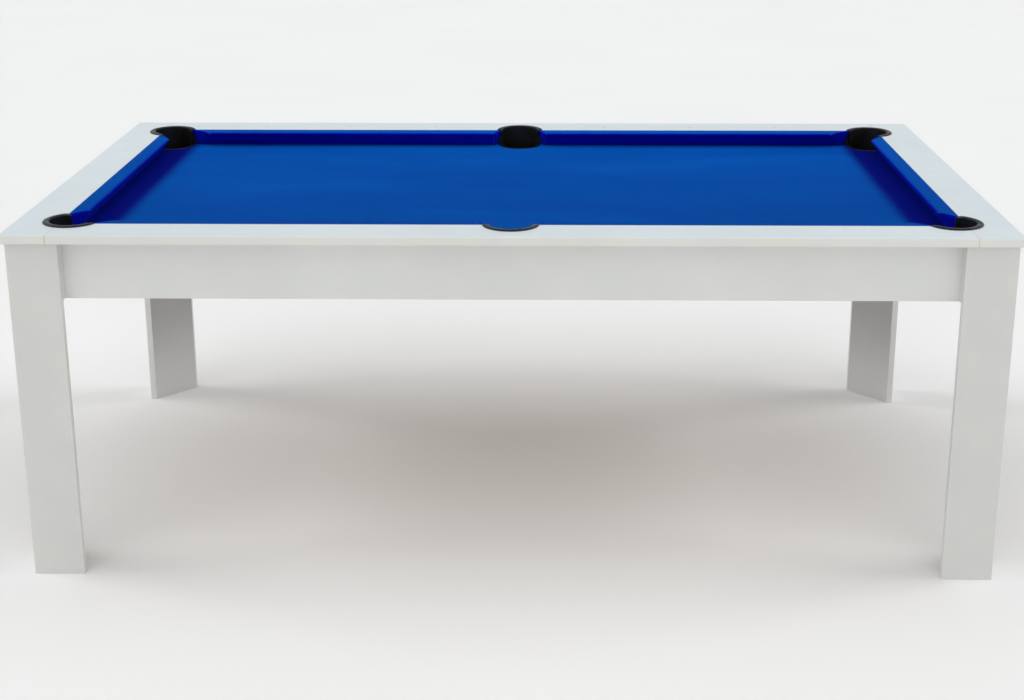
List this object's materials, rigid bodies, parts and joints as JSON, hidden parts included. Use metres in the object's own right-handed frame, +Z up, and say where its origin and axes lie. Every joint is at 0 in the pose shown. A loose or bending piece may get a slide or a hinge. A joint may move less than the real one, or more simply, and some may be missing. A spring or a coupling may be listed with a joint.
{
  "type": "pool table",
  "caption": "Pool table with a cloth-covered bed, cushions, drop pockets, white board rails and cabinet, and hollow corner legs with levelling feet.",
  "frame": {"origin": "on the floor, under the middle of the table", "axes": "+X along the table's length, +Y away from the front long rail, +Z up"},
  "size_m": [2.13, 1.2, 0.7835],
  "materials": {
    "rail_laminate": "white laminated board, satin",
    "cabinet_laminate": "white laminated board, satin",
    "core_board": "bare fibreboard and softwood, matt",
    "cloth": "napped wool and nylon cloth",
    "pocket_plastic": "black moulded plastic, satin",
    "sight_pearl": "polished pearl white",
    "zinc_steel": "zinc plated",
    "insert_brass": "turned",
    "foot_plastic": "black nylon, matt"
  },
  "bodies": {
    "table": {"left_end_rail": "rail_laminate", "right_end_rail": "rail_laminate", "front_rail": "rail_laminate", "back_rail": "rail_laminate", "rail_sights": "sight_pearl", "rail_dowels": "core_board", "cushion_left": "cloth", "cushion_right": "cloth", "cushion_front_left": "cloth", "cushion_front_right": "cloth", "cushion_back_left": "cloth", "cushion_back_right": "cloth", "subrail_left": "core_board", "subrail_right": "core_board", "subrail_front": "core_board", "subrail_back": "core_board", "bed_board": "core_board", "bed_cloth": "cloth", "pocket_front_left": "pocket_plastic", "pocket_front_right": "pocket_plastic", "pocket_back_left": "pocket_plastic", "pocket_back_right": "pocket_plastic", "pocket_side_front": "pocket_plastic", "pocket_side_back": "pocket_plastic", "pocket_screws": "zinc_steel", "apron_front": "cabinet_laminate", "apron_back": "cabinet_laminate", "apron_left": "cabinet_laminate", "apron_right": "cabinet_laminate", "bed_ledges": "core_board", "cross_beams": "core_board", "angle_brackets": "zinc_steel", "bracket_screws": "zinc_steel", "rail_bolts": "zinc_steel", "front_left_leg_face": "cabinet_laminate", "front_left_leg_side": "cabinet_laminate", "front_left_leg_inner_panel": "cabinet_laminate", "front_right_leg_face": "cabinet_laminate", "front_right_leg_side": "cabinet_laminate", "front_right_leg_inner_panel": "cabinet_laminate", "back_left_leg_face": "cabinet_laminate", "back_left_leg_side": "cabinet_laminate", "back_left_leg_inner_panel": "cabinet_laminate", "back_right_leg_face": "cabinet_laminate", "back_right_leg_side": "cabinet_laminate", "back_right_leg_inner_panel": "cabinet_laminate", "leg_packers": "cabinet_laminate", "leg_bolts": "zinc_steel", "leg_plugs": "core_board", "foot_inserts": "insert_brass"},
    "front_left_foot": {"front_left_foot_pad": "foot_plastic"},
    "front_left_stud": {"front_left_foot_stud": "zinc_steel"},
    "front_right_foot": {"front_right_foot_pad": "foot_plastic"},
    "front_right_stud": {"front_right_foot_stud": "zinc_steel"},
    "back_left_foot": {"back_left_foot_pad": "foot_plastic"},
    "back_left_stud": {"back_left_foot_stud": "zinc_steel"},
    "back_right_foot": {"back_right_foot_pad": "foot_plastic"},
    "back_right_stud": {"back_right_foot_stud": "zinc_steel"}
  },
  "joints": [
    {"name": "front_left_foot_travel", "type": "slide", "parent": "table", "child": "front_left_foot", "axis": [0, 0, -1], "range_m": [0, 0.015]},
    {"name": "front_left_stud_turn", "type": "hinge", "parent": "front_left_foot", "child": "front_left_stud", "pos_m": [-1.01644, -0.55144, 0.03], "axis": [0, 0, -1], "range_deg": [0, 4320]},
    {"name": "front_right_foot_travel", "type": "slide", "parent": "table", "child": "front_right_foot", "axis": [0, 0, -1], "range_m": [0, 0.015]},
    {"name": "front_right_stud_turn", "type": "hinge", "parent": "front_right_foot", "child": "front_right_stud", "pos_m": [1.01644, -0.55144, 0.03], "axis": [0, 0, -1], "range_deg": [0, 4320]},
    {"name": "back_left_foot_travel", "type": "slide", "parent": "table", "child": "back_left_foot", "axis": [0, 0, -1], "range_m": [0, 0.015]},
    {"name": "back_left_stud_turn", "type": "hinge", "parent": "back_left_foot", "child": "back_left_stud", "pos_m": [-1.01644, 0.55144, 0.03], "axis": [0, 0, -1], "range_deg": [0, 4320]},
    {"name": "back_right_foot_travel", "type": "slide", "parent": "table", "child": "back_right_foot", "axis": [0, 0, -1], "range_m": [0, 0.015]},
    {"name": "back_right_stud_turn", "type": "hinge", "parent": "back_right_foot", "child": "back_right_stud", "pos_m": [1.01644, 0.55144, 0.03], "axis": [0, 0, -1], "range_deg": [0, 4320]}
  ],
  "couplings": [
    {"joint": "front_left_stud_turn", "follows": "front_left_foot_travel", "rad_per_m": 5026.5},
    {"joint": "front_right_stud_turn", "follows": "front_right_foot_travel", "rad_per_m": 5026.5},
    {"joint": "back_left_stud_turn", "follows": "back_left_foot_travel", "rad_per_m": 5026.5},
    {"joint": "back_right_stud_turn", "follows": "back_right_foot_travel", "rad_per_m": 5026.5}
  ]
}
